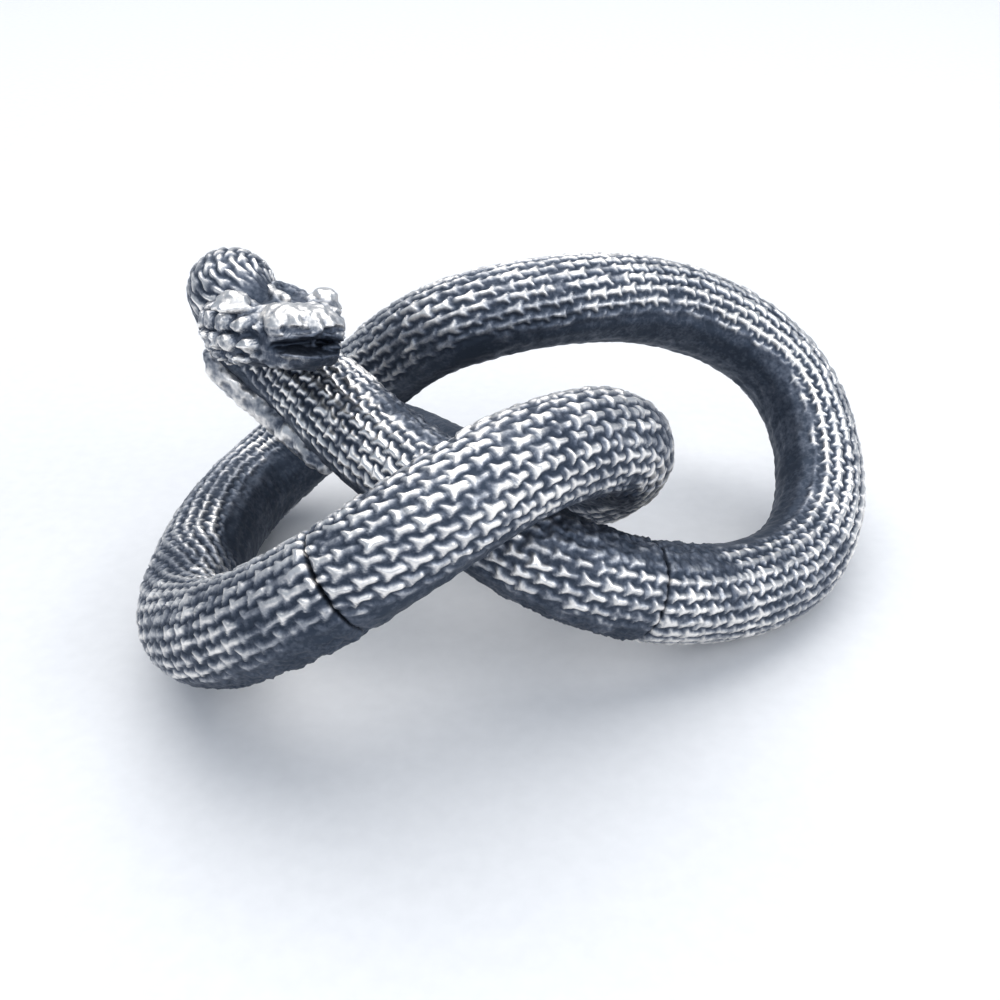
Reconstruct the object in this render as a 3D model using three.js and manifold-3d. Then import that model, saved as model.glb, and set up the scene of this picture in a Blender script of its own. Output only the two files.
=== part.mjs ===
// A cast metal snake tied in a loose knot: three scaly body castings that twist against each
// other on two hidden swivels. Units are millimetres, +Z is up, and the snake rests on z = 0.
import * as THREE from 'three';
import { NURBSCurve } from 'three/addons/curves/NURBSCurve.js';
import { mergeVertices } from 'three/addons/utils/BufferGeometryUtils.js';
import Module from 'manifold-3d';

const wasm = await Module();
wasm.setup();

// Driving dimensions.
const BODY_DIAMETER = 7;
const NECK_DIAMETER = 6.2;
const TAIL_TIP_DIAMETER = 3.2;
const NAPE = 3;
const NECK_LENGTH = 14;
const NECK_BLEND = 8;
const TAIL_TAPER = 30;
const HEAD_SEAM = 48.7;
const TAIL_SEAM = 176.4;
const SEAM_GAP = 0.3;
const RUNNING_GAP = 0.08;

// Swivel hardware.
const PIN_DIAMETER = 3;
const PIN_REACH = 5;
const PIN_CHAMFER = 0.3;
const GROOVE_DIAMETER = 2;
const RING_GROOVE_AT = 1.3;
const RING_GROOVE_WIDTH = 0.8;
const RING_THICKNESS = 0.42;
const KEY_GROOVE_AT = 3;
const KEY_GROOVE_WIDTH = 1.3;
const KEY_DIAMETER = 1;
const KEY_BORE_GAP = 0.1;

// Facet counts.
const BODY_SIDES = 20;
const BODY_STEP = 2.6;
const HOOK_STEP = 1.3;
const ROUND_SIDES = 24;

// The way the snake lies, head first. These points steer a cubic spline, as a ship's curve is
// steered by its weights, so the body passes near each one.
const ROUTE = [
  [-12.5, -1.5, 21.3], // under the skull
  [-13.5, -1.5, 21.3],
  [-17.5, -1, 23.3], // nape
  [-19, 4, 23], // the neck hooks over backwards
  [-18.5, 4.5, 18.3],
  [-14, 3.5, 15.8], // and comes back beneath the head
  [-9.5, -3, 14.3],
  [0, -12.5, 12.3], // passes under the front coil
  [8, -13, 7.8],
  [21, -4.5, 2.3], // big loop, on the table
  [26, 4.5, 4.8],
  [25, 17, 11.3],
  [11.5, 13.5, 19.3], // top of the arch at the back
  [-3.5, 6.5, 19.3],
  [-9, 11.5, 13.8], // behind the neck
  [-18, 12.5, 3.8],
  [-22, 4.5, 3.8], // left turn, on the table
  [-22, -15.5, 4.3],
  [-9, -23, 15.3], // front coil climbs over the neck
  [1.5, -14.5, 19.8],
  [9.5, -7, 16.8], // and dives into the big loop
  [7, -1.5, 8.8],
  [-3.5, 10, 3.8], // tail runs back along the table
  [-7, 20.5, 2.8],
  [-11, 24, 2.3], // tip
];

// The skull sits across the neck's lower leg: where it is, where it looks and how it leans.
const HEAD_CENTRE = new THREE.Vector3(-15.1, -1.4, 22);
const HEAD_FORWARD = new THREE.Vector3(0.51, -0.83, 0.24).normalize();
const HEAD_ACROSS = new THREE.Vector3(0.86, 0.48, -0.19);

// Skull sections from the nape to the nose: distance forward, width, height, height of middle.
const SKULL = [
  { at: -5.2, width: 5.2, height: 5, lift: 0 },
  { at: -3.6, width: 7, height: 5.4, lift: 0 },
  { at: -1.8, width: 7.9, height: 5.6, lift: -0.1 },
  { at: 0.2, width: 7.8, height: 5.2, lift: -0.25 },
  { at: 2, width: 6.7, height: 4.1, lift: -0.65 },
  { at: 3.6, width: 5, height: 3.6, lift: -0.75 },
  { at: 4.8, width: 4.3, height: 3.3, lift: -0.8 },
  { at: 5.6, width: 3.3, height: 2.4, lift: -0.8 },
];
const BROWS = [
  { across: -2.9, up: 1.4, forward: 0.6, size: 1.1 },
  { across: 3.35, up: 1.75, forward: 0.5, size: 0.9 },
];
const HEAD_BEND = 0.14; // the snout leans to the snake's left by this much of its length
const NOSTRIL_RADIUS = 0.27;
const NOSTRIL_LENGTH = 1.4;
const NOSTRIL_TURN = 0.37;
const MOUTH_CORNER = 3.7;
const MOUTH_END = 8;
const MOUTH_GAPE = 2.6;
const MOUTH_LIFT = -0.8;

// The belly keel stands proud of the neck's lower leg on its outer side.
const KEEL_FROM = 13.5;
const KEEL_TO = 27;
const KEEL_RADIUS = 1.25;
const KEEL_OFFSET = 3.3;
const KEEL_SIDE = new THREE.Vector3(-0.71, -0.36, -0.61);

const CAST_SILVER = { color: 0x9a9da3, metalness: 0.9, roughness: 0.38 };
const STEEL = { color: 0xc2c5c9, metalness: 1, roughness: 0.25 };
const RUBBER = { color: 0x1c1c1e, metalness: 0, roughness: 0.8 };

const route = splineThrough(ROUTE);
const routeLength = route.getLength();

function splineThrough(points) {
  const degree = 3;
  const spans = points.length - degree;
  const knots = [];
  for (let i = -degree; i <= spans + degree; i += 1) {
    knots.push(Math.min(Math.max(i, 0), spans) / spans);
  }
  const controls = points.map(([x, y, z]) => new THREE.Vector4(x, y, z, 1));
  const curve = new NURBSCurve(degree, knots, controls);
  curve.arcLengthDivisions = 3000;
  return curve;
}

// A stretch of the route between two distances from the snout end, measured along the body.
class Stretch extends THREE.Curve {
  constructor(from, to) {
    super();
    this.from = from;
    this.to = to;
  }

  distance(t) {
    return THREE.MathUtils.lerp(this.from, this.to, t);
  }

  getPoint(t) {
    return route.getPointAt(THREE.MathUtils.clamp(this.distance(t) / routeLength, 0, 1));
  }

  getPointAt(t) {
    return this.getPoint(t);
  }

  getTangentAt(t) {
    return route.getTangentAt(THREE.MathUtils.clamp(this.distance(t) / routeLength, 0, 1));
  }
}

function bodyRadius(distance) {
  const swelling = THREE.MathUtils.clamp((distance - NECK_LENGTH) / NECK_BLEND, 0, 1);
  const full = THREE.MathUtils.lerp(NECK_DIAMETER, BODY_DIAMETER, swelling) / 2;
  const radius = full * THREE.MathUtils.lerp(0.45, 1, THREE.MathUtils.smoothstep(distance, 2.5, 8));
  const along = Math.max(0, distance - (routeLength - TAIL_TAPER)) / TAIL_TAPER;
  return radius - (BODY_DIAMETER - TAIL_TIP_DIAMETER) / 2 * along ** 1.5;
}

// Joins rings of points into one closed skin, with a point at the middle of each end.
function skin(rings) {
  const sides = rings[0].length;
  const positions = [];
  const faces = [];
  rings.flat().forEach((point) => positions.push(point.x, point.y, point.z));
  for (let ring = 0; ring + 1 < rings.length; ring += 1) {
    for (let side = 0; side < sides; side += 1) {
      const here = ring * sides + side;
      const beside = ring * sides + (side + 1) % sides;
      faces.push(here, beside, here + sides, beside, beside + sides, here + sides);
    }
  }
  const ends = [0, (rings.length - 1) * sides];
  ends.forEach((start, end) => {
    const middle = new THREE.Vector3();
    rings[end ? rings.length - 1 : 0].forEach((point) => middle.add(point));
    middle.divideScalar(sides);
    const centre = positions.length / 3;
    positions.push(middle.x, middle.y, middle.z);
    for (let side = 0; side < sides; side += 1) {
      const edge = [start + side, start + (side + 1) % sides];
      faces.push(centre, edge[end ? 0 : 1], edge[end ? 1 : 0]);
    }
  });
  const geometry = new THREE.BufferGeometry();
  geometry.setAttribute('position', new THREE.Float32BufferAttribute(positions, 3));
  geometry.setIndex(faces);
  return geometry;
}

function bodySkin(from, to, step, radiusAt, centreAt) {
  const stretch = new Stretch(from, to);
  const steps = Math.ceil((to - from) / step);
  const frames = stretch.computeFrenetFrames(steps, false);
  const rings = [];
  for (let i = 0; i <= steps; i += 1) {
    const centre = centreAt(stretch, i / steps);
    const radius = radiusAt(stretch.distance(i / steps));
    const ring = [];
    for (let side = 0; side < BODY_SIDES; side += 1) {
      const angle = side / BODY_SIDES * 2 * Math.PI;
      const spoke = frames.normals[i].clone().multiplyScalar(Math.cos(angle));
      spoke.addScaledVector(frames.binormals[i], Math.sin(angle));
      ring.push(centre.clone().addScaledVector(spoke, radius));
    }
    rings.push(ring);
  }
  return skin(rings);
}

const onRoute = (stretch, t) => stretch.getPoint(t);

function body(from, to, step) {
  return solid(bodySkin(from, to, step, bodyRadius, onRoute));
}

// manifold-3d solids and back.
function solid(geometry) {
  const bare = new THREE.BufferGeometry();
  bare.setAttribute('position', geometry.getAttribute('position'));
  bare.setIndex(geometry.getIndex());
  const merged = mergeVertices(bare, 1e-5);
  const mesh = new wasm.Mesh({
    numProp: 3,
    vertProperties: new Float32Array(merged.getAttribute('position').array),
    triVerts: new Uint32Array(merged.getIndex().array),
  });
  return new wasm.Manifold(mesh);
}

function piece(name, shape, look) {
  const mesh = shape.getMesh();
  const geometry = new THREE.BufferGeometry();
  geometry.setAttribute('position', new THREE.BufferAttribute(mesh.vertProperties, 3));
  geometry.setIndex(new THREE.BufferAttribute(mesh.triVerts, 1));
  geometry.computeVertexNormals();
  const part = new THREE.Mesh(geometry, new THREE.MeshStandardMaterial(look));
  part.name = name;
  return part;
}

// A seam's own frame: +Y looks down and +Z along the body, away from the middle casting.
function seamAt(distance, outward) {
  const centre = route.getPointAt(distance / routeLength);
  const ahead = route.getTangentAt(distance / routeLength).multiplyScalar(outward);
  const down = new THREE.Vector3(0, 0, -1);
  const sideways = new THREE.Vector3().crossVectors(down, ahead).normalize();
  const under = new THREE.Vector3().crossVectors(ahead, sideways);
  const frame = new THREE.Matrix4().makeBasis(sideways, under, ahead).setPosition(centre);
  return { frame, outward };
}

function turned(profile) {
  const points = profile.map(([radius, height]) => new THREE.Vector2(radius, height));
  return new THREE.LatheGeometry(points, ROUND_SIDES).rotateX(Math.PI / 2);
}

function swivelPin(frame) {
  const radius = PIN_DIAMETER / 2;
  const core = GROOVE_DIAMETER / 2;
  const profile = [[0, -PIN_REACH], [radius - PIN_CHAMFER, -PIN_REACH]];
  profile.push([radius, PIN_CHAMFER - PIN_REACH]);
  [[RING_GROOVE_AT, RING_GROOVE_WIDTH], [KEY_GROOVE_AT, KEY_GROOVE_WIDTH]].forEach(([at, width]) => {
    profile.push([radius, at - width / 2], [core, at - width / 2]);
    profile.push([core, at + width / 2], [radius, at + width / 2]);
  });
  profile.push([radius, PIN_REACH - PIN_CHAMFER], [radius - PIN_CHAMFER, PIN_REACH]);
  profile.push([0, PIN_REACH]);
  return solid(turned(profile).applyMatrix4(frame));
}

function frictionRing(frame) {
  const tube = RING_THICKNESS / 2;
  const ring = new THREE.TorusGeometry(GROOVE_DIAMETER / 2 + tube + 0.08, tube, 8, ROUND_SIDES);
  return solid(ring.translate(0, 0, RING_GROOVE_AT).applyMatrix4(frame));
}

// The key lies across the pin's groove, off the pin's axis, in a hole drilled from below.
function keyShape(seam, diameter, top, bottom) {
  const reach = top - bottom;
  const offset = GROOVE_DIAMETER / 2 + KEY_DIAMETER / 2 + KEY_BORE_GAP;
  const key = new THREE.CylinderGeometry(diameter / 2, diameter / 2, reach, 16);
  key.translate(seam.outward * -offset, (top + bottom) / 2, KEY_GROOVE_AT);
  return solid(key.applyMatrix4(seam.frame));
}

function pinBore(frame) {
  const radius = PIN_DIAMETER / 2 + RUNNING_GAP;
  const depth = PIN_REACH + RUNNING_GAP;
  const bore = turned([[0, -depth], [radius, -depth], [radius, depth], [0, depth]]);
  return solid(bore.applyMatrix4(frame));
}

const keyTop = BODY_DIAMETER / 2 - 0.75;
const keyBottom = -PIN_DIAMETER / 2 - 0.5;

function keyBore(seam) {
  return keyShape(seam, KEY_DIAMETER + 2 * KEY_BORE_GAP, BODY_DIAMETER, keyBottom - KEY_BORE_GAP);
}

// Head, built in its own frame: x across (to the snake's left), y up, z forward.
function headFrame() {
  const across = HEAD_ACROSS.clone();
  across.addScaledVector(HEAD_FORWARD, -across.dot(HEAD_FORWARD)).normalize();
  const up = new THREE.Vector3().crossVectors(HEAD_FORWARD, across);
  return new THREE.Matrix4().makeBasis(across, up, HEAD_FORWARD).setPosition(HEAD_CENTRE);
}

function skull() {
  const sides = 24;
  const squareness = 0.82;
  const rings = SKULL.map(({ at, width, height, lift }) => {
    const ring = [];
    for (let side = 0; side < sides; side += 1) {
      const angle = side / sides * 2 * Math.PI;
      const across = Math.sign(Math.cos(angle)) * Math.abs(Math.cos(angle)) ** squareness;
      const up = Math.sign(Math.sin(angle)) * Math.abs(Math.sin(angle)) ** squareness;
      ring.push(new THREE.Vector3(across * width / 2, up * height / 2 + lift, at));
    }
    return ring;
  });
  return solid(skin(rings));
}

function ball(radius, x, y, z, stretch) {
  const sphere = new THREE.SphereGeometry(radius, 16, 10);
  return solid(sphere.scale(...stretch).translate(x, y, z));
}

function mouthSlot() {
  const jawSide = new THREE.Shape();
  jawSide.moveTo(MOUTH_CORNER, MOUTH_LIFT);
  jawSide.lineTo(MOUTH_END, MOUTH_LIFT + MOUTH_GAPE / 2);
  jawSide.lineTo(MOUTH_END, MOUTH_LIFT - MOUTH_GAPE / 2);
  const slot = new THREE.ExtrudeGeometry(jawSide, { depth: 12, bevelEnabled: false });
  return solid(slot.translate(0, 0, -6).rotateY(-Math.PI / 2));
}

function nostril(side) {
  const hole = new THREE.CylinderGeometry(NOSTRIL_RADIUS, NOSTRIL_RADIUS, NOSTRIL_LENGTH, 10);
  hole.rotateZ(Math.PI / 2).rotateY(side * NOSTRIL_TURN);
  return solid(hole.translate(side * 1.25, 0.15, 5.5));
}

function head() {
  let shape = skull();
  BROWS.forEach(({ across, up, forward, size }) => {
    shape = shape.add(ball(size, across, up, forward, [1, 0.75, 1.05]));
  });
  [-1, 1].forEach((side) => {
    shape = shape.add(ball(1, side * 0.9, 0.3, 3.3, [1.45, 1.4, 2.3])); // snout
    shape = shape.add(ball(1, side * 1.8, 0.2, 4.2, [0.75, 0.85, 1])); // beyond the nostril
    shape = shape.subtract(nostril(side));
  });
  return shape.subtract(mouthSlot()).warp((point) => {
    point[0] += HEAD_BEND * Math.max(0, point[2]);
  });
}

function placed(shape, frame) {
  const mesh = shape.getMesh();
  const geometry = new THREE.BufferGeometry();
  geometry.setAttribute('position', new THREE.BufferAttribute(mesh.vertProperties, 3));
  geometry.setIndex(new THREE.BufferAttribute(mesh.triVerts, 1));
  return solid(geometry.applyMatrix4(frame));
}

function bellyKeel() {
  const beside = (stretch, t) => stretch.getPoint(t).addScaledVector(KEEL_SIDE, KEEL_OFFSET);
  const taper = (distance) => {
    const along = (distance - KEEL_FROM) / (KEEL_TO - KEEL_FROM);
    return KEEL_RADIUS * (0.35 + 0.65 * Math.sin(Math.PI * along) ** 0.5);
  };
  return solid(bodySkin(KEEL_FROM, KEEL_TO, 1.7, taper, beside));
}

const headSeam = seamAt(HEAD_SEAM, -1);
const tailSeam = seamAt(TAIL_SEAM, 1);
const half = SEAM_GAP / 2;

function headCasting() {
  const neck = body(NAPE, NECK_LENGTH + NECK_BLEND, HOOK_STEP);
  const trunk = body(NECK_LENGTH + NECK_BLEND - 0.01, HEAD_SEAM - half, BODY_STEP);
  const cast = neck.add(trunk).add(placed(head(), headFrame())).add(bellyKeel());
  return cast.subtract(pinBore(headSeam.frame)).subtract(keyBore(headSeam));
}

function middleCasting() {
  const cast = body(HEAD_SEAM + half, TAIL_SEAM - half, BODY_STEP);
  return cast.subtract(pinBore(headSeam.frame)).subtract(pinBore(tailSeam.frame));
}

function tailCasting() {
  const trunk = body(TAIL_SEAM + half, routeLength, BODY_STEP);
  const tip = new THREE.SphereGeometry(TAIL_TIP_DIAMETER / 2, 16, 10);
  const end = route.getPointAt(1);
  const cast = trunk.add(solid(tip.translate(end.x, end.y, end.z)));
  return cast.subtract(pinBore(tailSeam.frame)).subtract(keyBore(tailSeam));
}

const snake = new THREE.Group();
snake.name = 'twisty_snake_puzzle';
snake.add(piece('head_casting', headCasting(), CAST_SILVER));
snake.add(piece('middle_casting', middleCasting(), CAST_SILVER));
snake.add(piece('tail_casting', tailCasting(), CAST_SILVER));
[['head', headSeam], ['tail', tailSeam]].forEach(([end, seam]) => {
  snake.add(piece(`${end}_swivel_pin`, swivelPin(seam.frame), STEEL));
  snake.add(piece(`${end}_swivel_friction_ring`, frictionRing(seam.frame), RUBBER));
  snake.add(piece(`${end}_swivel_key`, keyShape(seam, KEY_DIAMETER, keyTop, keyBottom), STEEL));
});

// The origin is the middle of the footprint, on the table.
function standOnTable(group) {
  const box = new THREE.Box3().setFromObject(group);
  const middle = box.getCenter(new THREE.Vector3());
  group.children.forEach((part) => part.geometry.translate(-middle.x, -middle.y, -box.min.z));
}

standOnTable(snake);

export default snake;
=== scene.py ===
"""A cast silver snake tied in a loose knot: three scaly castings that twist on two swivels.

Lengths are in millimetres until a mesh is finished, then metres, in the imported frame.
"""
import math

import bpy
import numpy as np
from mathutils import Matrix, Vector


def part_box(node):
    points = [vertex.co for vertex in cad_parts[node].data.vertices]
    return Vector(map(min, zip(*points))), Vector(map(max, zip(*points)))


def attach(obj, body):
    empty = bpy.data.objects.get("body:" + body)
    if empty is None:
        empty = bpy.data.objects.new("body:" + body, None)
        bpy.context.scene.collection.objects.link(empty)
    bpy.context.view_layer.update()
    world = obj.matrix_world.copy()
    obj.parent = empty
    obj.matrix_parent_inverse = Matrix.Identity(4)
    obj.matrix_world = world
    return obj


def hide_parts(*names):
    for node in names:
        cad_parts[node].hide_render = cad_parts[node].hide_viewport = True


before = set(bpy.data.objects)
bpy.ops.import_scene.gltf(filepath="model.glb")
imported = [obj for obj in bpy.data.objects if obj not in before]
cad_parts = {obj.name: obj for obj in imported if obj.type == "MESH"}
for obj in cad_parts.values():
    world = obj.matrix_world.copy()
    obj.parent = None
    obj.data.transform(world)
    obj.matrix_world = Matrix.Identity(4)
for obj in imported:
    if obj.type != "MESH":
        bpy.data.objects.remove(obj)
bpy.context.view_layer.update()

MM = 0.001

# Camera: degrees below level, place, and lens and sensor in millimetres.
CAMERA_PITCH = 31.0
CAMERA_PLACE = (-1.8, -76.9, 53.16)
CAMERA_LENS = 43.28
SENSOR = 36.0

# The body, as the castings are made. Distances run along it from the snout end of the route.
BODY_RADIUS = 3.5
NECK_RADIUS = 3.1
TAIL_TIP_RADIUS = 1.6
NECK_LENGTH = 14
NECK_BLEND = 8
TAIL_TAPER = 30
HEAD_SEAM = 48.7
TAIL_SEAM = 176.4
HALF_GAP = 0.08
NAPE = 3
NAPE_WIDENS = (2.5, 7)
BORE_RADIUS = 1.58
BORE_DEPTH = 5.08
SEAM_CHAMFER = (0.16, 0.06, 0.02)

# The way the snake lies, head first: control points of a cubic spline.
ROUTE = [
    (-12.5, -1.5, 21.3), (-13.5, -1.5, 21.3), (-17.5, -1, 23.3),  # nape
    (-19, 4, 23), (-18.5, 4.5, 18.3), (-14, 3.5, 15.8),  # hook behind the head
    (-9.5, -3, 14.3), (0, -12.5, 12.3), (8, -13, 7.8),  # under the front coil
    (21, -4.5, 2.3), (26, 4.5, 4.8), (25, 17, 11.3),  # big loop
    (11.5, 13.5, 19.3), (-3.5, 6.5, 19.3), (-9, 11.5, 13.8),  # arch at the back
    (-18, 12.5, 3.8), (-22, 4.5, 3.8), (-22, -15.5, 4.3),  # left turn
    (-9, -23, 15.3), (1.5, -14.5, 19.8), (9.5, -7, 16.8),  # front coil
    (7, -1.5, 8.8), (-3.5, 10, 3.8), (-7, 20.5, 2.8), (-11, 24, 2.3),  # tail
]

# Scale pattern: rows run along the body and each is half a scale out of step with the next.
PITCH = 1.25
ROWS_AROUND = 22  # rows of scales that would fill the whole way round
ROW = 2 * math.pi * BODY_RADIUS / ROWS_AROUND
RELIEF = 0.3  # depth of the pockets between scales
SCALE_ROWS = 8.7  # rows of scales each side of the back, before the belly starts
STEPS_PER_SCALE = 10
STEPS_PER_ROW = 8
BELLY_STEPS = 34

# The belly's direction at distances along the body, for each casting.
BELLY = {
    "head": [
        (0, (0.2, -0.1, -0.97)), (6, (0.2, -0.1, -0.97)), (12, (-0.8, -0.5, -0.35)),
        (18, (-0.72, 0.05, -0.7)), (30, (-0.6, -0.05, -0.8)), (38, (-0.3, -0.2, -0.93)),
        (HEAD_SEAM, (0, -0.35, -0.94)),
    ],
    "middle": [
        (HEAD_SEAM, (-0.35, 0.6, 0.7)), (60, (-0.5, 0.72, 0.5)), (72, (-0.9, 0, 0.43)),
        (84, (-0.77, -0.64, 0)), (96, (-0.17, -0.84, -0.5)), (108, (0.1, -0.5, -0.85)),
        (120, (0.4, -0.3, -0.85)), (132, (0.3, -0.9, -0.1)), (140, (0.82, -0.45, 0.3)),
        (150, (0.95, 0, 0.1)), (156, (0.7, 0.1, -0.7)), (163, (0.2, -0.1, -0.97)),
        (TAIL_SEAM, (0, -0.45, -0.89)),
    ],
    "tail": [
        (TAIL_SEAM, (0, -0.45, -0.89)), (192, (0.1, 0.1, -1)), (198, (-0.4, -0.3, -0.85)),
        (204, (-0.95, 0, -0.2)), (210, (-0.7, 0.1, 0.6)), (217, (0, 0.3, 0.95)),
        (241, (0, 0.3, 0.95)),
    ],
}

# Rough patches left by casting: from, to, the way they face, half their width in degrees.
SCARS = [
    (39, 56, (-0.15, 0.05, 0.98), 62),
    (37, 50, (-0.1, -0.6, -0.8), 42),
    (164, 179, (0.15, -0.62, -0.77), 34),
    (193, 206, (-0.3, -0.4, -0.87), 50),
    (23, 37, (0.45, 0.1, 0.6), 48),
]
# Stretches painted brighter as if more light fell on them, under the head and on the big loop's
# right side: from, to, how much.
PAINTED_LIGHT_STRETCHES = [(17, 36, 0.5), (66, 94, 0.3)]
BARE_NAPE = (4, 5.6)  # scales fade in over this stretch
# Height of the ridge that joins the scales of a row, as a part of a scale's height.
RIDGE = {"head": 0.35, "middle": 0.6, "tail": 0.25}

# The skull, in its own frame: x across, to the snake's left, y up, z forward.
HEAD_CENTRE = (-15.1, -1.4, 22)
HEAD_FORWARD = (0.51, -0.83, 0.24)
HEAD_ACROSS = (0.86, 0.48, -0.19)
SKULL = [  # distance forward, width, height, height of the middle
    (-5.4, 3.6, 3.4, 0), (-5.2, 5.2, 5, 0), (-3.6, 7, 5.4, 0), (-1.8, 7.9, 5.6, -0.1),
    (0.2, 7.8, 5.2, -0.25), (2, 6.7, 4.1, -0.65), (3.6, 5, 3.6, -0.75),
    (4.8, 4.3, 3.3, -0.8), (5.5, 3.5, 2.6, -0.8), (5.8, 1.4, 1.2, -0.8),
]
SQUARENESS = 2.4  # power of the skull's rounded-square sections, where 2 is an ellipse
BROWS = [((-2.9, 1.4, 0.6), 1.1), ((3.35, 1.75, 0.5), 0.9)]  # place, size
HEAD_BEND = 0.14  # the snout leans to the snake's left by this much of its length
MOUTH_CORNER = 3.95
MOUTH_HEIGHT = -0.8
BEAD_PITCH = 1.4
BEAD_DROP = 1.25
HEAD_CELL = 0.1

# The belly keel beside the neck.
KEEL_FROM = 11.5
KEEL_TO = 25.5
KEEL_RADIUS = 1.25
KEEL_OFFSET = 3.3
KEEL_SIDE = (-0.71, -0.36, -0.61)


def unit(vectors):
    """Vectors scaled to length 1."""
    vectors = np.asarray(vectors, float)
    return vectors / np.linalg.norm(vectors, axis=-1, keepdims=True)


def smoothstep(low, high, values):
    """0 at low, 1 at high and smooth between; low may be the larger."""
    along = np.clip((values - low) / (high - low), 0, 1)
    return along * along * (3 - 2 * along)


def spline(points, count):
    """Points along a clamped uniform cubic B-spline."""
    degree = 3
    spans = len(points) - degree
    knots = np.clip(np.arange(-degree, spans + degree + 1), 0, spans) / spans
    t = np.linspace(0, 1 - 1e-9, count)
    basis = [((t >= a) & (t < b)).astype(float) for a, b in zip(knots, knots[1:])]
    for d in range(1, degree + 1):
        raised = []
        for i in range(len(basis) - 1):
            value = np.zeros(count)
            if knots[i + d] > knots[i]:
                value += (t - knots[i]) / (knots[i + d] - knots[i]) * basis[i]
            if knots[i + d + 1] > knots[i + 1]:
                fall = knots[i + d + 1] - t
                value += fall / (knots[i + d + 1] - knots[i + 1]) * basis[i + 1]
            raised.append(value)
        basis = raised
    return np.array(basis).T @ np.asarray(points, float)


class Route:
    """The body's middle line, by distance from the snout end."""

    def __init__(self):
        self.points = spline(ROUTE, 9000)
        steps = np.linalg.norm(np.diff(self.points, axis=0), axis=1)
        self.distances = np.concatenate([[0], np.cumsum(steps)])
        self.length = self.distances[-1]
        self.tangents = unit(np.gradient(self.points, axis=0))

    def at(self, s):
        """Middle and tangent at distances s, straight on past the tail's end."""
        s = np.asarray(s, float)
        middle = np.stack([np.interp(s, self.distances, c) for c in self.points.T], -1)
        tangent = unit(np.stack([np.interp(s, self.distances, c) for c in self.tangents.T], -1))
        middle = middle + tangent * np.maximum(0, s - self.length)[..., None]
        return middle, tangent


def value_noise(points, size, seed):
    """Smooth random values from -1 to 1 with features of about the given size."""
    table = np.random.default_rng(seed).uniform(-1, 1, (32, 32, 32))
    scaled = np.asarray(points) / size + 500.5
    cell = np.floor(scaled).astype(int)
    part = scaled - cell
    part = part * part * (3 - 2 * part)
    total = np.zeros(scaled.shape[:-1])
    for corner in np.ndindex(2, 2, 2):
        weight = np.ones(total.shape)
        index = []
        for axis in range(3):
            fraction = part[..., axis]
            weight = weight * (fraction if corner[axis] else 1 - fraction)
            index.append((cell[..., axis] + corner[axis]) % 32)
        total += weight * table[tuple(index)]
    return total


def body_radius(s, length):
    """Full radius at distance s on a snake of the given length."""
    swelling = np.clip((s - NECK_LENGTH) / NECK_BLEND, 0, 1)
    radius = NECK_RADIUS + (BODY_RADIUS - NECK_RADIUS) * swelling
    radius = radius * (0.5 + 0.5 * smoothstep(*NAPE_WIDENS, s))
    along = np.maximum(0, s - (length - TAIL_TAPER)) / TAIL_TAPER
    taper = BODY_RADIUS - TAIL_TIP_RADIUS
    return radius - taper * np.minimum(along, 1) ** 1.5


def capsule(along, across, start, end, radius_start, radius_end):
    """Signed distance to a tapered capsule in the plane of the scales."""
    way = np.array(end, float) - np.array(start, float)
    t = ((along - start[0]) * way[0] + (across - start[1]) * way[1]) / (way @ way)
    t = np.clip(t, 0, 1)
    gap = np.hypot(along - start[0] - t * way[0], across - start[1] - t * way[1])
    return gap - (radius_start + (radius_end - radius_start) * t)


SCALE_JITTER = np.random.default_rng(11).uniform(-1, 1, (256, 64, 4))


def scale_height(s, v, ridge_height):
    """Height of the scale pattern, 0 to 1, at distance s along and v rows round from the back."""
    height = np.zeros(np.broadcast(s, v).shape)
    for beside in (0, 1):
        row = np.floor(v).astype(int) + beside
        shift = 0.5 * (row % 2)
        for ahead in (-1, 0, 1):
            cell = np.floor(s / PITCH - shift).astype(int) + ahead
            jitter = SCALE_JITTER[cell % 256, row % 64]
            along = s - (cell + shift + 0.5) * PITCH + 0.07 * jitter[..., 0]
            across = (v - row) * ROW + 0.05 * jitter[..., 1]
            size = 1 + 0.14 * jitter[..., 2]
            along, across = along / size, across / size
            lobe = capsule(along, across, (-0.05, 0), (0.46, 0), 0.21, 0.24)
            left = capsule(along, across, (-0.06, 0), (-0.36, 0.42), 0.25, 0.08)
            right = capsule(along, across, (-0.06, 0), (-0.32, -0.42), 0.25, 0.1)
            gap = np.minimum(lobe, np.minimum(left, right))
            top = 1 - smoothstep(-0.16, 0.15, gap)
            height = np.maximum(height, top * (0.84 + 0.16 * jitter[..., 3]))
            ridge = 1 - smoothstep(0.05, 0.3, np.abs(across))
            height = np.maximum(height, ridge_height * ridge)
    return height


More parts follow.
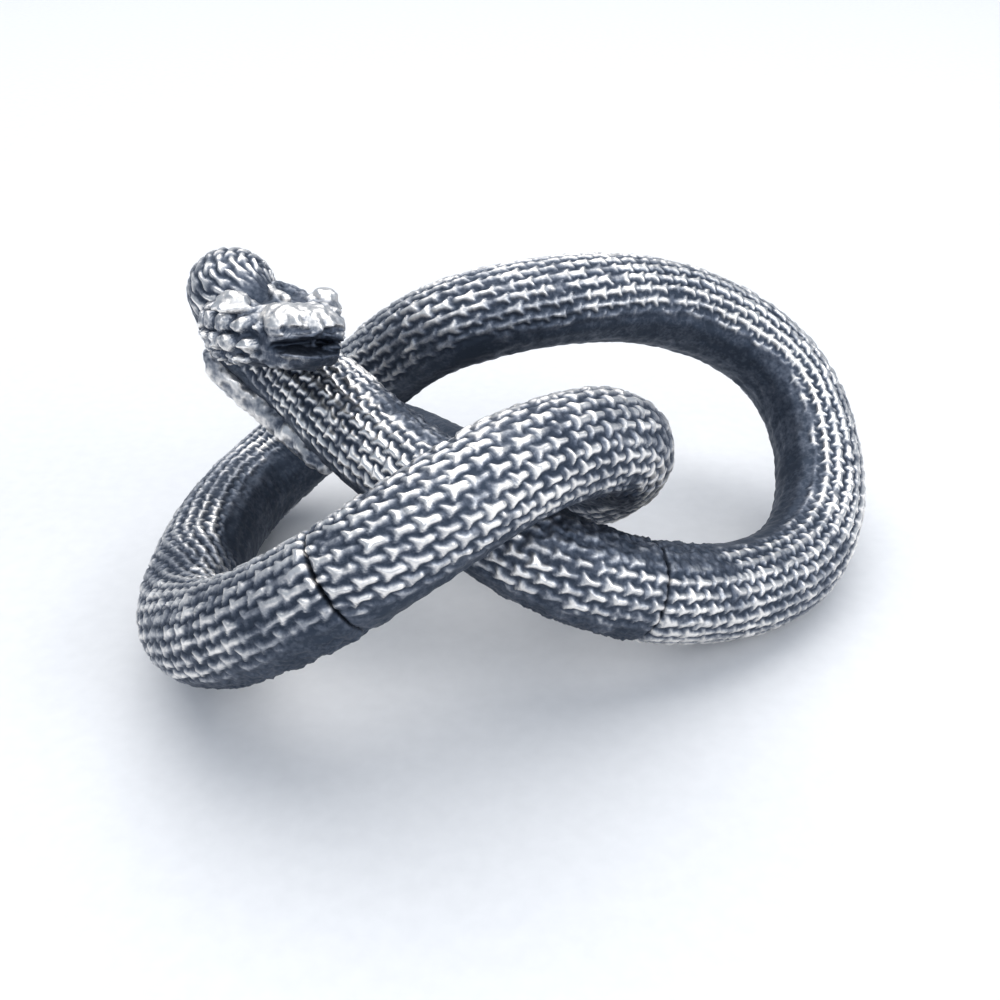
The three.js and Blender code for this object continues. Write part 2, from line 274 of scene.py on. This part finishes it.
class Body:
    """A stretch of scaly body as rings of points with its relief and polish."""

    def __init__(self, route, casting, start, end):
        self.route = route
        self.ridge = RIDGE[casting]
        steps = int(round((end - start) / (PITCH / STEPS_PER_SCALE)))
        self.s = np.linspace(start, end, steps + 1)
        self.v = self.round_the_body()
        self.angle = self.v * 2 * math.pi / ROWS_AROUND
        self.middle, self.tangent = route.at(self.s)
        belly = self.belly_direction(casting)
        self.back = -belly
        self.side = np.cross(self.tangent, self.back)

    def round_the_body(self):
        """Rows round from the back: fine steps on the scales and coarse ones on the belly."""
        scaled = int(2 * SCALE_ROWS * STEPS_PER_ROW)
        edge = np.linspace(-SCALE_ROWS, SCALE_ROWS, scaled + 1)
        belly = np.linspace(SCALE_ROWS, ROWS_AROUND - SCALE_ROWS, BELLY_STEPS + 1)[1:-1]
        return np.concatenate([edge, belly])

    def belly_direction(self, casting):
        """Which way the belly faces along the stretch, square to the body."""
        keys = BELLY[casting]
        places = [key[0] for key in keys]
        ways = unit([key[1] for key in keys])
        spread = np.stack([np.interp(self.s, places, way) for way in ways.T], -1)
        spread -= np.sum(spread * self.tangent, -1, keepdims=True) * self.tangent
        return unit(spread)

    def spokes(self):
        """Directions out from the middle line, for each place along and round."""
        cos, sin = np.cos(self.angle)[None, :, None], np.sin(self.angle)[None, :, None]
        return cos * self.back[:, None] + sin * self.side[:, None]

    def relief(self, spokes):
        """How far the skin sinks below the casting's full size, and its polish, brightened by
        painted light on some stretches.
        """
        s = np.broadcast_to(self.s[:, None], spokes.shape[:2])
        wrapped = (self.v + ROWS_AROUND / 2) % ROWS_AROUND - ROWS_AROUND / 2
        v = np.broadcast_to(wrapped[None, :], s.shape)
        place = self.middle[:, None] + spokes * BODY_RADIUS
        broken = value_noise(place, 0.9, 3)
        edge = smoothstep(SCALE_ROWS - 0.1, SCALE_ROWS - 1.5, np.abs(v) + 0.7 * broken)
        edge = edge * smoothstep(*BARE_NAPE, s)
        warp = 0.1 * value_noise(place, 0.7, 14)
        flaws = 1 - 0.55 * smoothstep(0.25, 0.7, value_noise(place, 0.8, 15))
        scales = scale_height(s + warp, v + 1.1 * warp, self.ridge) * edge * flaws
        rib = 0.5 + 0.5 * np.cos(2 * math.pi * s / PITCH)
        crease = 0.5 + 0.5 * np.cos(2 * math.pi * v / 1.5)
        smooth = 0.4 + 0.1 * rib + 0.16 * crease + 0.22 * value_noise(place, 0.6, 4)
        belly = (1 - edge) * smooth
        height = scales * (1 + 0.12 * value_noise(place, 0.3, 7)) + belly
        scar = self.scar(spokes, place)
        rough = 0.5 + 0.45 * value_noise(place, 0.55, 5) + 0.45 * value_noise(place, 0.28, 6)
        height = height * (1 - scar) + scar * np.clip(rough, 0, 1.25)
        polish = scales * (1 - 0.75 * scar) + 0.16 * scar * rough
        polish = polish + 0.12 * (1 - edge) * (0.5 + value_noise(place, 0.4, 8))
        # Random drift in the tone, dimmer towards the belly edges of the scales.
        wear_and_painted_light = 0.8 + 0.3 * value_noise(place, 5, 9) + 0.2 * value_noise(place, 1.6, 10)
        wear_and_painted_light -= 0.22 * smoothstep(5.5, 8.5, np.abs(v))
        # Painted light: the listed stretches are brightened as if a lamp lit them.
        for start, stop, gain in PAINTED_LIGHT_STRETCHES:
            wear_and_painted_light += gain * smoothstep(start, start + 4, s) * smoothstep(stop, stop - 4, s)
        return (1 - height) * RELIEF, np.clip(polish * wear_and_painted_light, 0, 1)

    def scar(self, spokes, place):
        """How rough the casting is, 0 to 1."""
        mask = np.zeros(spokes.shape[:2])
        for start, end, way, width in SCARS:
            facing = spokes @ unit(way)
            wide = smoothstep(math.cos(math.radians(width)), 1, facing)
            blur = 1.5 * value_noise(place, 2, 12)
            along = self.s[:, None] + blur
            long = smoothstep(start, start + 3, along) * smoothstep(end, end - 3, along)
            mask = np.maximum(mask, np.minimum(1, 2.2 * wide) * long)
        return mask

    def rings(self):
        """Rings of points along the stretch, closed to a round tip past the route's end."""
        spokes = self.spokes()
        sunk, polish = self.relief(spokes)
        radius = body_radius(self.s, self.route.length)[:, None]
        past = np.maximum(0, self.s - self.route.length)[:, None] / TAIL_TIP_RADIUS
        tip = np.sqrt(np.clip(1 - past * past, 0.0004, 1))
        thin = radius / BODY_RADIUS
        points = self.middle[:, None] + spokes * ((radius - sunk * thin) * tip)[..., None]
        return points, polish


def bore_rings(body, end, seam):
    """From a casting's end face in to its pin bore and down to the bore's bottom."""
    middle, tangent = body.route.at(seam)
    inward = 1 if end == 0 else -1
    spokes = body.spokes()[end]
    rings = []
    for radius, depth in ((BORE_RADIUS, HALF_GAP), (BORE_RADIUS, BORE_DEPTH)):
        rings.append(middle + tangent * inward * depth + spokes * radius)
    return rings


def chamfer(body, points, ends):
    """Rounds the skin over at the seams, where two castings meet."""
    for end in ends:
        for step, drop in enumerate(SEAM_CHAMFER):
            index = step if end == 0 else -1 - step
            outward = body.spokes()[index]
            points[index] -= outward * drop


def add_mesh(name, points, faces, polish, material):
    """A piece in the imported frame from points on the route, with its polish kept on its points."""
    mesh = bpy.data.meshes.new(name)
    mesh.from_pydata((np.asarray(points) + SHIFT) * MM, [], faces)
    mesh.update()
    layer = mesh.attributes.new("polish", "FLOAT", "POINT")
    layer.data.foreach_set("value", np.asarray(polish, np.float32))
    mesh.shade_smooth()
    mesh.materials.append(material)
    piece = bpy.data.objects.new(name, mesh)
    bpy.context.scene.collection.objects.link(piece)
    return piece


def ring_faces(count, sides):
    """Quads between rings and a fan over each end, with the two fan centres last."""
    here = np.arange((count - 1) * sides).reshape(count - 1, sides)
    beside = np.roll(here, -1, axis=1)
    quads = np.stack([here, beside, beside + sides, here + sides], -1).reshape(-1, 4)
    faces = [tuple(quad) for quad in quads.tolist()]
    first, last = count * sides, count * sides + 1
    final = (count - 1) * sides
    for side in range(sides):
        after = (side + 1) % sides
        faces.append((first, after, side))
        faces.append((last, final + side, final + after))
    return faces


def tube_piece(name, rings, polish, material):
    """A closed piece from rings of points, each with its polish."""
    rings = np.asarray(rings)
    count, sides = rings.shape[:2]
    centres = [rings[0].mean(0), rings[-1].mean(0)]
    points = np.concatenate([rings.reshape(-1, 3), centres])
    values = np.concatenate([np.asarray(polish).ravel(), [0, 0]])
    return add_mesh(name, points, ring_faces(count, sides), values, material)


def scaled_body(route, casting, start, end, seams, material):
    """One casting's skin. Seams are keyed 0 at its start and -1 at its end."""
    body = Body(route, casting, start, end)
    points, polish = body.rings()
    chamfer(body, points, seams)
    rings, values = list(points), list(polish)
    dark = np.zeros(len(body.v))
    if 0 in seams:
        rings = bore_rings(body, 0, seams[0])[::-1] + rings
        values = [dark, dark] + values
    if -1 in seams:
        rings = rings + bore_rings(body, -1, seams[-1])
        values = values + [dark, dark]
    piece = tube_piece(f"{casting}_scaled_body", rings, values, material)
    return stand_for(piece, casting)


def stand_for(piece, casting):
    """The piece rides with its casting and hides it."""
    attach(piece, casting)
    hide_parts(f"{casting}_casting")
    return piece


def belly_keel(route, material):
    """The bumpy belly strip that stands proud beside the neck."""
    s = np.linspace(KEEL_FROM, KEEL_TO, 140)
    middle, tangent = route.at(s)
    way = np.array(KEEL_SIDE)
    middle = middle + way * KEEL_OFFSET
    out = unit(way - np.sum(way * tangent, -1, keepdims=True) * tangent)
    side = np.cross(tangent, out)
    angle = np.linspace(0, 2 * math.pi, 48, endpoint=False)
    cos, sin = np.cos(angle)[None, :, None], np.sin(angle)[None, :, None]
    spokes = cos * out[:, None] + sin * side[:, None]
    along = (s - KEEL_FROM) / (KEEL_TO - KEEL_FROM)
    radius = KEEL_RADIUS * (0.4 + 0.6 * np.clip(np.sin(math.pi * along), 0, 1) ** 0.4)
    place = middle[:, None] + spokes * radius[:, None, None]
    bumps = 0.16 * value_noise(place, 0.8, 21) + 0.1 * value_noise(place, 0.35, 22)
    points = place + spokes * (bumps - 0.14)[..., None]
    polish = np.clip(0.45 + 2 * bumps, 0, 1)
    piece = tube_piece("neck_belly_keel", points, polish, material)
    return stand_for(piece, "head")


def head_axes():
    """Rows are the head's across, up and forward."""
    forward = unit(HEAD_FORWARD)
    across = np.array(HEAD_ACROSS) - np.dot(HEAD_ACROSS, forward) * forward
    across = unit(across)
    return np.stack([across, np.cross(forward, across), forward])


def ellipsoid(p, centre, radii):
    """Roughly the signed distance to an ellipsoid."""
    q = (p - np.array(centre)) / np.array(radii)
    return (np.linalg.norm(q, axis=-1) - 1) * min(radii)


def rod(p, start, end, radius):
    """Signed distance to a round-ended rod."""
    start, way = np.array(start), np.array(end) - np.array(start)
    t = np.clip(((p - start) @ way) / (way @ way), 0, 1)
    return np.linalg.norm(p - start - t[..., None] * way, axis=-1) - radius


def blend_in(a, b, soft):
    """Union of two distance fields with a fillet."""
    mix = np.clip(0.5 + 0.5 * (b - a) / soft, 0, 1)
    return b + (a - b) * mix - soft * mix * (1 - mix)


def cut_out(a, b, soft):
    """Distance field a with b taken away, its edge rounded."""
    return -blend_in(-a, b, soft)


def skull_field(p):
    """Roughly the signed distance to the plain skull, its sections blurred into one another."""
    places = [station[0] for station in SKULL]
    fine = np.linspace(places[0], places[-1], 200)
    z = p[..., 2]
    sizes = []
    for column in (1, 2, 3):
        values = np.interp(fine, places, [station[column] for station in SKULL])
        padded = np.pad(values, 6, mode="edge")
        values = np.convolve(padded, np.ones(13) / 13, "valid")
        sizes.append(np.interp(z, fine, values))
    width, height, lift = sizes
    across = np.abs(p[..., 0] / (width / 2)) ** SQUARENESS
    up = np.abs((p[..., 1] - lift) / (height / 2)) ** SQUARENESS
    size = np.minimum(width, height) / 2
    round_field = ((across + up) ** (1 / SQUARENESS) - 1) * size
    ends = np.maximum(places[0] - z, z - places[-1])
    return np.maximum(round_field, ends)


def cheek_beads(p):
    """Large bead scales on the cheeks, as a height from 0 to 1."""
    row = np.floor(p[..., 1] / BEAD_DROP + 0.35)
    shifted = p[..., 2] / BEAD_PITCH + 0.5 * (row % 2)
    cell = np.floor(shifted)
    jitter = SCALE_JITTER[cell.astype(int) % 256, row.astype(int) % 64]
    along = (shifted - cell - 0.5) * BEAD_PITCH + 0.1 * jitter[..., 0]
    across = p[..., 1] - (row + 0.15) * BEAD_DROP + 0.1 * jitter[..., 1]
    size = 1 + 0.15 * jitter[..., 2]
    bead = 1 - smoothstep(0.36, 0.62, np.hypot(along, across * 0.85) / size)
    side = smoothstep(2.3, 3.1, np.abs(p[..., 0]))
    reach = smoothstep(3.7, 3.2, p[..., 2]) * smoothstep(1.6, 1.0, p[..., 1])
    return bead * side * reach


def snout_field(p):
    """The broad flat snout: two bulges side by side, with a lobe beyond each nostril."""
    field = ellipsoid(p, (0, 0.25, 3.4), (1.2, 1.35, 2.3))
    for side in (-1, 1):
        field = blend_in(field, ellipsoid(p, (side * 0.9, 0.3, 3.3), (1.45, 1.4, 2.3)), 0.2)
        field = blend_in(field, ellipsoid(p, (side * 1.8, 0.2, 4.2), (0.75, 0.85, 1)), 0.2)
    return field


def crest_field(p):
    """The low ridge along the middle of the skull's top."""
    return rod(p, (0.1, 2.6, -3.6), (0.05, 1.8, 1.7), 0.3)


def head_field(p):
    """Roughly the signed distance to the finished head, straight ahead, before it is bent."""
    field = blend_in(skull_field(p), snout_field(p), 0.08)
    for side in (-1, 1):
        jaw = rod(p, (side * 2.8, -1.8, 1.4), (side * 1.4, -1.85, 4.6), 0.4)
        field = blend_in(field, jaw, 0.35)
        lore = rod(p, (side * 2.5, 1.1, 1.7), (side * 1.2, 1.25, 2.1), 0.24)
        field = blend_in(field, lore, 0.1)
        plateau = ellipsoid(p, (side * 1.45, 2.9, 0.7), (1.35, 1.45, 2.8))
        field = cut_out(field, plateau, 0.25)
    for place, size in BROWS:
        field = blend_in(field, ellipsoid(p, place, (size, 0.75 * size, 1.05 * size)), 0.2)
    corner = rod(p, (3.1, 1.2, 0.9), (2.4, 0.4, 3.3), 0.6)
    field = blend_in(field, corner, 0.3)
    field = blend_in(field, crest_field(p), 0.15)
    field = field - 0.32 * cheek_beads(p)
    field = cut_out(field, mouth_field(p), 0.1)
    for side in (-1, 1):
        nostril = rod(p, (side * 0.6, 0.1, 5.75), (side * 1.9, 0.2, 5.25), 0.27)
        field = cut_out(field, nostril, 0.1)
    tooth = ellipsoid(p, (1.5, -1, 4.7), (0.5, 0.22, 0.4))
    field = blend_in(field, tooth, 0.05)
    pits = 0.09 * value_noise(p, 0.5, 31) + 0.06 * value_noise(p, 0.24, 32)
    furrows = 0.18 * value_noise(p * (1, 2.5, 1), 0.8, 33) * smoothstep(0.4, -0.4, p[..., 1])
    return field + pits + furrows


def mouth_field(p):
    """Roughly the signed distance to the mouth, a wedge that opens forward under the snout."""
    depth = p[..., 2] - MOUTH_CORNER
    gape = 0.1 + 0.3 * np.clip(depth, 0, 4)
    bite = np.abs(p[..., 1] - MOUTH_HEIGHT + 0.05 * p[..., 0] ** 2) - gape
    return np.maximum(bite, -depth)


def blurred(field, cells):
    """The field averaged over a few cells each way."""
    kernel = np.hanning(2 * cells + 3)[1:-1]
    kernel /= kernel.sum()
    for axis in range(3):
        field = np.apply_along_axis(lambda line: np.convolve(line, kernel, "same"), axis, field)
    return field


def surface_of(field, origin, cell):
    """Quads round the zero surface of a field, one point in each cell that it crosses."""
    inside = field < 0
    shape = np.array(field.shape) - 1
    total = np.zeros((*shape, 3))
    count = np.zeros(shape)
    corner = {}
    for offset in np.ndindex(2, 2, 2):
        corner[offset] = tuple(slice(o, o + n) for o, n in zip(offset, shape))
    for axis in range(3):
        step = np.eye(3, dtype=int)[axis]
        for offset in np.ndindex(2, 2, 2):
            if offset[axis]:
                continue
            other = tuple(np.array(offset) + step)
            a, b = field[corner[offset]], field[corner[other]]
            crossed = (a < 0) != (b < 0)
            t = np.where(crossed, a / np.where(crossed, a - b, 1), 0)
            place = np.array(offset)[None, None, None] + t[..., None] * step
            total += np.where(crossed[..., None], place, 0)
            count += crossed
    used = count > 0
    number = np.full(shape, -1)
    number[used] = np.arange(used.sum())
    base = np.argwhere(used)
    points = origin + (base + total[used] / count[used][:, None]) * cell
    faces = []
    for axis in range(3):
        u, w = (axis + 1) % 3, (axis + 2) % 3
        ahead = np.take(inside, range(1, inside.shape[axis]), axis)
        behind = np.take(inside, range(inside.shape[axis] - 1), axis)
        for flip, edges in ((False, behind & ~ahead), (True, ~behind & ahead)):
            at = np.argwhere(edges)
            at = at[(at[:, u] > 0) & (at[:, w] > 0) & (at[:, u] < shape[u]) & (at[:, w] < shape[w])]
            back_u, back_w = np.eye(3, dtype=int)[u], np.eye(3, dtype=int)[w]
            around = [at - back_u - back_w, at - back_w, at, at - back_u]
            quad = np.stack([number[tuple(c.T)] for c in around], -1)
            faces.append(quad[:, ::-1] if flip else quad)
    return points, np.concatenate(faces)


def skull_piece(material):
    low, high = np.array([-5.0, -3.9, -5.8]), np.array([5.0, 3.9, 6.2])
    axes = [np.arange(a, b, HEAD_CELL) for a, b in zip(low, high)]
    grid = np.stack(np.meshgrid(*axes, indexing="ij"), -1)
    field = head_field(grid)
    points, faces = surface_of(field, low, HEAD_CELL)
    proud = blurred(field, 6) - field
    nearest = np.clip(np.rint((points - low) / HEAD_CELL).astype(int), 0, np.array(field.shape) - 1)
    polish = 0.3 + 2.6 * proud[tuple(nearest.T)]
    across, up, ahead = points.T
    top = smoothstep(0.2, 1.2, up)
    snout = smoothstep(0, 0.5, up) * smoothstep(0.3, 0.05, snout_field(points))
    brow = sum(smoothstep(1.5, 1, np.linalg.norm(points - p, axis=1) / size) for p, size in BROWS)
    polish += 0.3 * np.maximum(snout, brow) + 0.3 * smoothstep(0.25, 0.05, crest_field(points))
    plateau = top * smoothstep(2.9, 2.3, np.abs(across)) * smoothstep(1.9, 1.3, ahead)
    polish -= 0.12 * plateau
    # Painted shade: the underside of the head, most on the snake's left, is darkened as if in
    # shadow.
    polish -= 0.45 * smoothstep(-1.1, -1.8, up) * smoothstep(-2, 0, across)
    polish -= 0.2 * smoothstep(-1.4, -2.4, up)
    polish = np.clip(polish, 0.03, 1) * (0.25 + 0.75 * smoothstep(-0.05, 0.35, mouth_field(points)))
    points[:, 0] += HEAD_BEND * np.maximum(0, ahead)
    world = np.array(HEAD_CENTRE) + points @ head_axes()
    piece = add_mesh("head_skull", world, faces.tolist(), polish, material)
    return stand_for(piece, "head")


# Materials.
def ramp(tree, source, stops):
    """A colour ramp over (place, colour) stops."""
    made = tree.nodes.new("ShaderNodeValToRGB")
    elements = made.color_ramp.elements
    while len(elements) < len(stops):
        elements.new(0.5)
    for element, (place, colour) in zip(elements, stops):
        element.position = place
        element.color = (*colour, 1) if isinstance(colour, tuple) else (colour, colour, colour, 1)
    tree.links.new(source, made.inputs["Fac"])
    return made.outputs["Color"]


def math_node(tree, operation, a, b):
    made = tree.nodes.new("ShaderNodeMath")
    made.operation = operation
    for socket, value in zip(made.inputs, (a, b)):
        if isinstance(value, (int, float)):
            socket.default_value = value
        else:
            tree.links.new(value, socket)
    return made.outputs[0]


def noise(tree, size, detail=3.0):
    """Noise with features of about the given size in metres."""
    place = tree.nodes.new("ShaderNodeTexCoord")
    made = tree.nodes.new("ShaderNodeTexNoise")
    made.inputs["Scale"].default_value = 1 / size
    made.inputs["Detail"].default_value = detail
    tree.links.new(place.outputs["Object"], made.inputs["Vector"])
    return made.outputs["Fac"]


def new_material(name, metallic):
    material = bpy.data.materials.new(name)
    material.use_nodes = True
    shader = material.node_tree.nodes["Principled BSDF"]
    shader.inputs["Metallic"].default_value = metallic
    return material, material.node_tree, shader


def bump(tree, shader, height, distance, strength):
    """Roughens a shader's surface by a height, with distance in metres."""
    made = tree.nodes.new("ShaderNodeBump")
    made.inputs["Distance"].default_value = distance
    made.inputs["Strength"].default_value = strength
    tree.links.new(height, made.inputs["Height"])
    tree.links.new(made.outputs["Normal"], shader.inputs["Normal"])


def oxidised_silver():
    """Cast silver: bright where its points' polish is high and blue-black where it is low."""
    material, tree, shader = new_material("oxidised_cast_silver", 1.0)
    polish = tree.nodes.new("ShaderNodeAttribute")
    polish.attribute_name = "polish"
    grain = noise(tree, 0.25 * MM, 4)
    cloud = noise(tree, 2.5 * MM, 2)
    speckle = math_node(tree, "MULTIPLY", math_node(tree, "SUBTRACT", grain, 0.5), 0.45)
    drift = math_node(tree, "MULTIPLY", math_node(tree, "SUBTRACT", cloud, 0.5), 0.35)
    level = math_node(tree, "ADD", polish.outputs["Fac"], math_node(tree, "ADD", speckle, drift))
    colour = ramp(tree, level, [
        (0.0, (0.05, 0.064, 0.09)),
        (0.22, (0.12, 0.138, 0.175)),
        (0.42, (0.34, 0.355, 0.385)),
        (0.62, (0.72, 0.7, 0.68)),
        (0.85, (0.97, 0.94, 0.9)),
    ])
    tree.links.new(colour, shader.inputs["Base Color"])
    rough = ramp(tree, level, [(0.0, 0.62), (0.5, 0.45), (1.0, 0.3)])
    tree.links.new(rough, shader.inputs["Roughness"])
    bump(tree, shader, grain, 0.04 * MM, 0.35)
    return material


def turned_steel():
    material, tree, shader = new_material("turned_steel", 1.0)
    rings = noise(tree, 0.15 * MM, 5)
    colour = ramp(tree, rings, [(0.3, (0.42, 0.43, 0.45)), (0.7, (0.7, 0.71, 0.72))])
    tree.links.new(colour, shader.inputs["Base Color"])
    rough = ramp(tree, rings, [(0.3, 0.42), (0.7, 0.2)])
    tree.links.new(rough, shader.inputs["Roughness"])
    bump(tree, shader, rings, 0.01 * MM, 0.3)
    return material


def black_rubber():
    material, tree, shader = new_material("black_rubber", 0.0)
    dust = noise(tree, 0.2 * MM, 4)
    colour = ramp(tree, dust, [(0.35, (0.012, 0.012, 0.013)), (0.75, (0.05, 0.05, 0.052))])
    tree.links.new(colour, shader.inputs["Base Color"])
    rough = ramp(tree, dust, [(0.3, 0.65), (0.7, 0.9)])
    tree.links.new(rough, shader.inputs["Roughness"])
    bump(tree, shader, dust, 0.02 * MM, 0.4)
    return material


def white_paper():
    material, tree, shader = new_material("white_sweep", 0.0)
    fibre = noise(tree, 1.2 * MM, 4)
    colour = ramp(tree, fibre, [(0.3, (0.73, 0.735, 0.745)), (0.7, (0.76, 0.765, 0.775))])
    tree.links.new(colour, shader.inputs["Base Color"])
    shader.inputs["Roughness"].default_value = 0.85
    bump(tree, shader, fibre, 0.01 * MM, 0.1)
    return material


# Stage.
def make_camera():
    data = bpy.data.cameras.new("camera")
    data.sensor_width = SENSOR
    data.lens = CAMERA_LENS
    data.clip_start = 0.001
    data.clip_end = 10
    camera = bpy.data.objects.new("camera", data)
    camera.location = [value * MM for value in CAMERA_PLACE]
    camera.rotation_euler = (math.radians(90 - CAMERA_PITCH), 0, 0)
    bpy.context.scene.collection.objects.link(camera)
    bpy.context.scene.camera = camera


def make_floor():
    size = 1.5
    mesh = bpy.data.meshes.new("floor")
    corners = [(-size, -size, 0), (size, -size, 0), (size, size, 0), (-size, size, 0)]
    mesh.from_pydata(corners, [], [(0, 1, 2, 3)])
    mesh.materials.append(white_paper())
    floor = bpy.data.objects.new("floor", mesh)
    bpy.context.scene.collection.objects.link(floor)


def area_light(name, place, aim, size, power, colour):
    data = bpy.data.lights.new(name, "AREA")
    data.shape = "SQUARE"
    data.size = size
    data.energy = power
    data.color = colour
    light = bpy.data.objects.new(name, data)
    light.location = place
    way = np.array(aim) - np.array(place)
    flat = math.hypot(way[0], way[1])
    light.rotation_euler = (math.atan2(flat, -way[2]), 0, math.atan2(-way[0], way[1]))
    bpy.context.scene.collection.objects.link(light)


def make_light():
    centre = (0, 0, 0.01)
    area_light("overhead_softbox", (-0.04, 0.2, 0.6), centre, 0.8, 4.7, (1, 0.97, 0.935))
    area_light("front_fill", (-0.05, -0.5, 0.42), centre, 0.35, 0.8, (0.97, 0.98, 1))
    area_light("right_fill", (0.38, -0.25, 0.25), centre, 0.3, 1.1, (0.97, 0.98, 1))
    world = bpy.data.worlds.new("studio")
    world.use_nodes = True
    tree = world.node_tree
    place = tree.nodes.new("ShaderNodeTexCoord")
    split = tree.nodes.new("ShaderNodeSeparateXYZ")
    tree.links.new(place.outputs["Generated"], split.inputs[0])
    sky = ramp(tree, split.outputs["Z"], [
        (0.0, (0.56, 0.65, 0.8)), (0.25, (0.55, 0.64, 0.79)), (0.9, (0.72, 0.84, 1.0)),
    ])
    background = tree.nodes["Background"]
    tree.links.new(sky, background.inputs["Color"])
    background.inputs["Strength"].default_value = 0.58
    bpy.context.scene.world = world
    bpy.context.scene.view_settings.view_transform = "Standard"


def box_middle(name):
    low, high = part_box(name)
    return (np.array(low) + np.array(high)) / 2


make_camera()
make_floor()
make_light()

route = Route()
SHIFT = box_middle("head_swivel_pin") / MM - route.at(HEAD_SEAM)[0]

silver = oxidised_silver()
steel = turned_steel()
rubber = black_rubber()

skull_piece(silver)
belly_keel(route, silver)
tip = route.length + TAIL_TIP_RADIUS - 0.001
scaled_body(route, "head", NAPE, HEAD_SEAM - HALF_GAP, {-1: HEAD_SEAM}, silver)
seams = {0: HEAD_SEAM, -1: TAIL_SEAM}
scaled_body(route, "middle", HEAD_SEAM + HALF_GAP, TAIL_SEAM - HALF_GAP, seams, silver)
scaled_body(route, "tail", TAIL_SEAM + HALF_GAP, tip, {0: TAIL_SEAM}, silver)

for name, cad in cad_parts.items():
    finish = rubber if name.endswith("ring") else steel
    for material_slot in cad.material_slots:
        material_slot.material = finish
